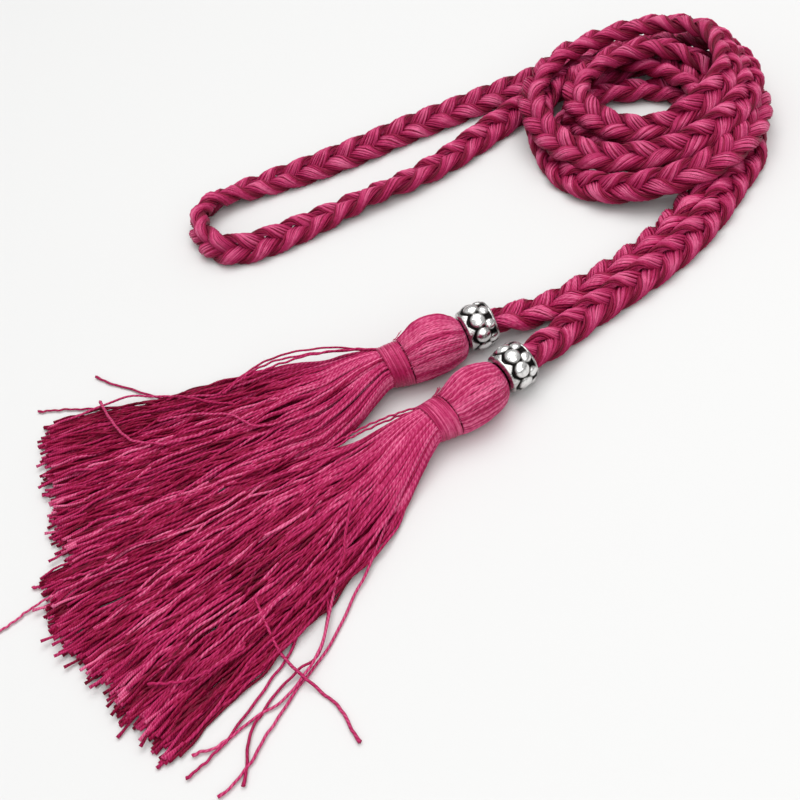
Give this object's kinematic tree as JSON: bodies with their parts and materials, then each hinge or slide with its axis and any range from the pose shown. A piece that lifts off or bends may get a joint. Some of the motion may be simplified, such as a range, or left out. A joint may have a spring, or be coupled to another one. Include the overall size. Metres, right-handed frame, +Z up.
{
  "type": "braided tassel belt",
  "caption": "Long soft belt of plaited silky threads, folded double and rolled into a loose coil, with a metal bead and a long fringed tassel on each free end.",
  "frame": {"origin": "middle of the belt's outline on the surface that it lies on", "axes": "+Z up from the surface, +X from the tassels' ends towards the coil, +Y from the tassels towards the folded middle of the belt"},
  "size_m": [0.2542, 0.234, 0.0245],
  "materials": {
    "plaited_silk": "silky twisted thread, raspberry pink",
    "tassel_silk": "silky twisted thread, raspberry pink",
    "antique_silver": "bright cast metal, blackened in the recesses"
  },
  "bodies": {
    "root": {"braid_strand_1": "plaited_silk", "braid_strand_2": "plaited_silk", "braid_strand_3": "plaited_silk", "bead_a": "antique_silver", "tassel_head_a": "tassel_silk", "binding_a": "tassel_silk", "fringe_a": "tassel_silk", "bead_b": "antique_silver", "tassel_head_b": "tassel_silk", "binding_b": "tassel_silk", "fringe_b": "tassel_silk"}
  },
  "joints": []
}
